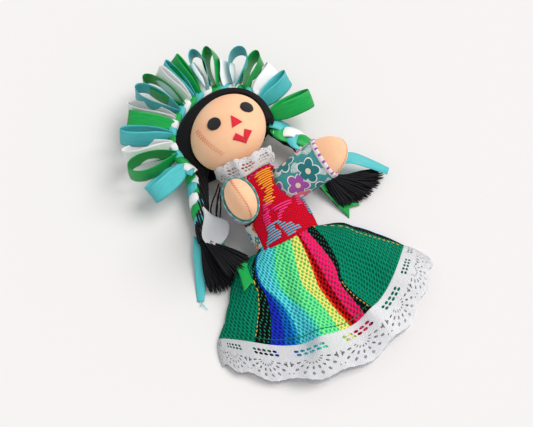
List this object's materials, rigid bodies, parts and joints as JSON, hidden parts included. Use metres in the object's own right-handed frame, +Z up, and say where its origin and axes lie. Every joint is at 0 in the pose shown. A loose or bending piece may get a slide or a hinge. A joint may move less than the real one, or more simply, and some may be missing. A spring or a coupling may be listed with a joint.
{
  "type": "rag doll",
  "caption": "Small stuffed cloth doll lying on its back, with a spread gathered skirt edged in lace, yarn braids with tassels and a crown of satin ribbon loops.",
  "frame": {"origin": "on the flat back of the blouse, on the doll's middle line, at the height of its elbows: the place where the doll rests on the table", "axes": "+Y from the waist to the crown of the head, +Z up from the table and out of the chest, +X to the doll's own left"},
  "size_m": [0.1241, 0.1882, 0.0479],
  "materials": {
    "skin_cotton": "fine plain cotton over stuffing",
    "yarn_black": "matte yarn",
    "felt_black": "felt",
    "felt_red": "felt",
    "printed_cotton": "printed plain cotton, flowers in teal and orange on white",
    "woven_red": "handwoven brocade on a red twill ground",
    "woven_green": "coarse handwoven cloth, green with warp stripes of many colours",
    "lace_white": "cotton lace",
    "satin_teal": "satin ribbon",
    "satin_green": "satin ribbon",
    "satin_white": "satin ribbon"
  },
  "bodies": {
    "torso": {"torso": "skin_cotton", "neck": "skin_cotton", "blouse": "printed_cotton", "bodice_front": "woven_red", "skirt": "woven_green", "skirt_lace": "lace_white", "collar_lace": "lace_white"},
    "head": {"head": "skin_cotton", "eye_right": "felt_black", "eye_left": "felt_black", "nose": "felt_red", "mouth": "felt_red", "hair_cap": "yarn_black", "crown_braid": "satin_teal", "ribbon_loop_01": "satin_teal", "ribbon_loop_02": "satin_green", "ribbon_loop_03": "satin_white", "ribbon_loop_04": "satin_teal", "ribbon_loop_05": "satin_green", "ribbon_loop_06": "satin_white", "ribbon_loop_07": "satin_teal", "ribbon_loop_08": "satin_green", "ribbon_loop_09": "satin_white", "ribbon_loop_10": "satin_teal", "ribbon_loop_11": "satin_green", "ribbon_loop_12": "satin_white", "ribbon_loop_13": "satin_teal", "ribbon_loop_14": "satin_green", "ribbon_loop_15": "satin_white", "ribbon_loop_16": "satin_teal", "ribbon_loop_17": "satin_green", "ribbon_loop_18": "satin_white", "ribbon_loop_19": "satin_teal", "ribbon_loop_20": "satin_green"},
    "arm_right": {"arm_right": "skin_cotton", "sleeve_right": "printed_cotton"},
    "arm_left": {"arm_left": "skin_cotton", "sleeve_left": "printed_cotton"},
    "leg_right": {"leg_right": "skin_cotton"},
    "leg_left": {"leg_left": "skin_cotton"},
    "braid_right": {"braid_right": "yarn_black", "braid_tie_right": "yarn_black", "tassel_right": "yarn_black", "tail_teal_right": "satin_teal", "tail_green_right": "satin_green", "tail_white_right": "satin_white"},
    "braid_left": {"braid_left": "yarn_black", "braid_tie_left": "yarn_black", "tassel_left": "yarn_black", "tail_teal_left": "satin_teal", "tail_green_left": "satin_green"}
  },
  "joints": [
    {"name": "head_turn", "type": "hinge", "parent": "torso", "child": "head", "pos_m": [0, 0.03, 0.014], "axis": [0, 1, 0], "range_deg": [0, 10]},
    {"name": "arm_right_swing", "type": "hinge", "parent": "torso", "child": "arm_right", "pos_m": [-0.0136, 0.011, 0.0134], "axis": [0.0298, -0.954, -0.2983], "range_deg": [0, 20]},
    {"name": "arm_left_raise", "type": "hinge", "parent": "torso", "child": "arm_left", "pos_m": [0.0136, 0.011, 0.0134], "axis": [-0.0088, -0.9999, -0.0048], "range_deg": [0, 50]},
    {"name": "leg_right_spread", "type": "hinge", "parent": "torso", "child": "leg_right", "pos_m": [-0.0076, -0.027, 0.0057], "axis": [0, 0, 1], "range_deg": [-8, 2]},
    {"name": "leg_left_spread", "type": "hinge", "parent": "torso", "child": "leg_left", "pos_m": [0.0076, -0.027, 0.0057], "axis": [0, 0, 1], "range_deg": [-2, 8]},
    {"name": "braid_right_swing", "type": "hinge", "parent": "head", "child": "braid_right", "pos_m": [-0.0266, 0.0376, 0.0074], "axis": [0, 0, 1], "range_deg": [-40, 0]},
    {"name": "braid_left_swing", "type": "hinge", "parent": "head", "child": "braid_left", "pos_m": [0.0244, 0.0428, 0.0096], "axis": [0, 0, 1], "range_deg": [0, 35]}
  ]
}
